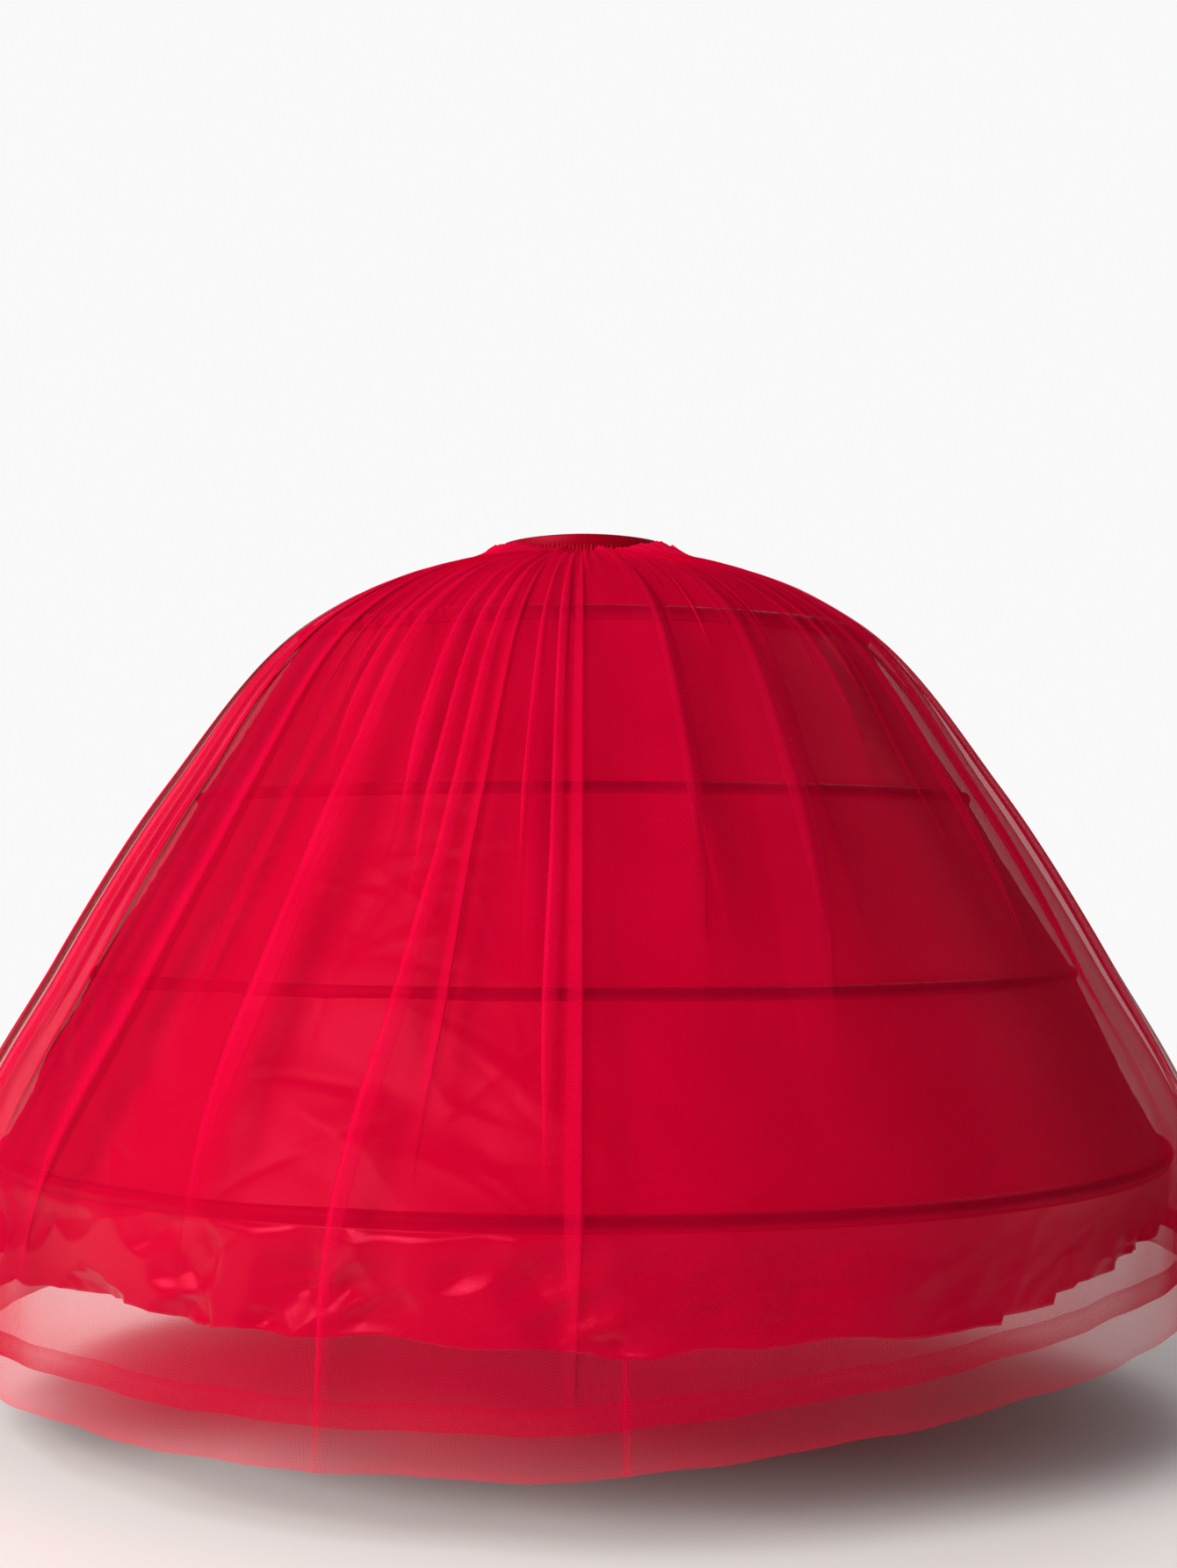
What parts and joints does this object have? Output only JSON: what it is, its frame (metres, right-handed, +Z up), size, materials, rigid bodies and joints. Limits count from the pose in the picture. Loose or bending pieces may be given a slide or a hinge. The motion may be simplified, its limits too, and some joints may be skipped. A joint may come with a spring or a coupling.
{
  "type": "hooped crinoline petticoat",
  "caption": "Bell-shaped hooped petticoat: steel hoops in a cloth lining under two sheer gathered net layers, on an elastic waistband.",
  "frame": {"origin": "centre of the waistband, at half its height", "axes": "+Z up along the wearer, -Y to the front, +X to the left side of the wearer"},
  "size_m": [1.6026, 1.6066, 1.0261],
  "materials": {
    "waistband": "satin",
    "elastic": "woven",
    "lining": "satin",
    "casing": "satin",
    "net": "sheer",
    "spring_steel": "bright",
    "sleeve": "crimped"
  },
  "bodies": {
    "root": {"casing_1": "casing", "casing_2": "casing", "casing_3": "casing", "casing_4": "casing", "flounce_back_left": "lining", "flounce_back_right": "lining", "flounce_front": "lining", "hoop_1": "spring_steel", "hoop_2": "spring_steel", "hoop_3": "spring_steel", "hoop_4": "spring_steel", "hoop_sleeves": "sleeve", "over_net_panel_1": "net", "over_net_panel_2": "net", "over_net_panel_3": "net", "over_net_panel_4": "net", "skirt_back_left": "lining", "skirt_back_right": "lining", "skirt_front": "lining", "under_net_panel_1": "net", "under_net_panel_2": "net", "under_net_panel_3": "net", "under_net_panel_4": "net", "waist_elastic": "elastic", "waistband": "waistband", "yoke_back_left": "lining", "yoke_back_right": "lining", "yoke_front": "lining"}
  },
  "joints": []
}
